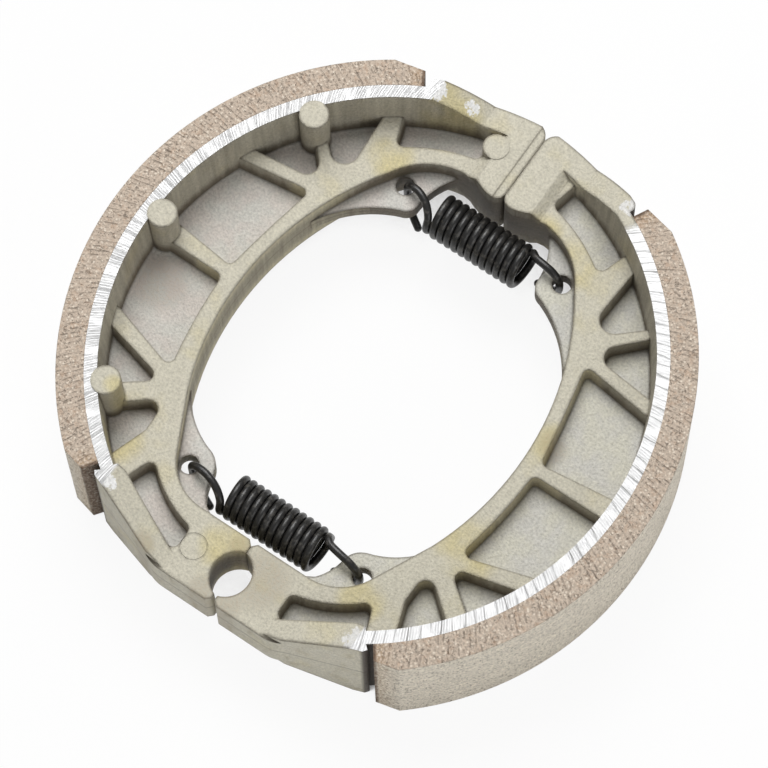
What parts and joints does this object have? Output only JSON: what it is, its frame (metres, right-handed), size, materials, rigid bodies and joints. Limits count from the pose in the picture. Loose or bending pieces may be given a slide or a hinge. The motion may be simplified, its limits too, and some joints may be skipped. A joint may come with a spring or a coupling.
{
  "type": "drum brake shoe pair",
  "caption": "Pair of curved drum brake shoes with ribbed cast bodies, bonded friction linings and hooked coil springs that hold them together.",
  "frame": {"origin": "on the drum's axis, in the plane that the closed pair lies on", "axes": "+Z along the drum's axis, up from the resting plane; +Y towards the cam end; +X across the split, from the left shoe to the right one"},
  "size_m": [0.1046, 0.0998, 0.025],
  "materials": {
    "casting": "matte as-cast alloy, machined bright on the rim's side faces",
    "lining": "moulded friction material, sawn and ground, matte",
    "spring": "black, half gloss"
  },
  "bodies": {
    "left": {"left_shoe": "casting", "left_lining": "lining", "cam_spring": "spring", "anchor_spring": "spring"},
    "right": {"right_shoe": "casting", "right_lining": "lining"}
  },
  "joints": [
    {"name": "shoes_open", "type": "hinge", "parent": "left", "child": "right", "pos_m": [0, -0.0422, 0.0125], "axis": [0, 0, -1], "range_deg": [0, 5], "stiffness_Nm_per_rad": 16, "springref_deg": -1.72, "deforming": ["cam_spring", "anchor_spring"]}
  ]
}
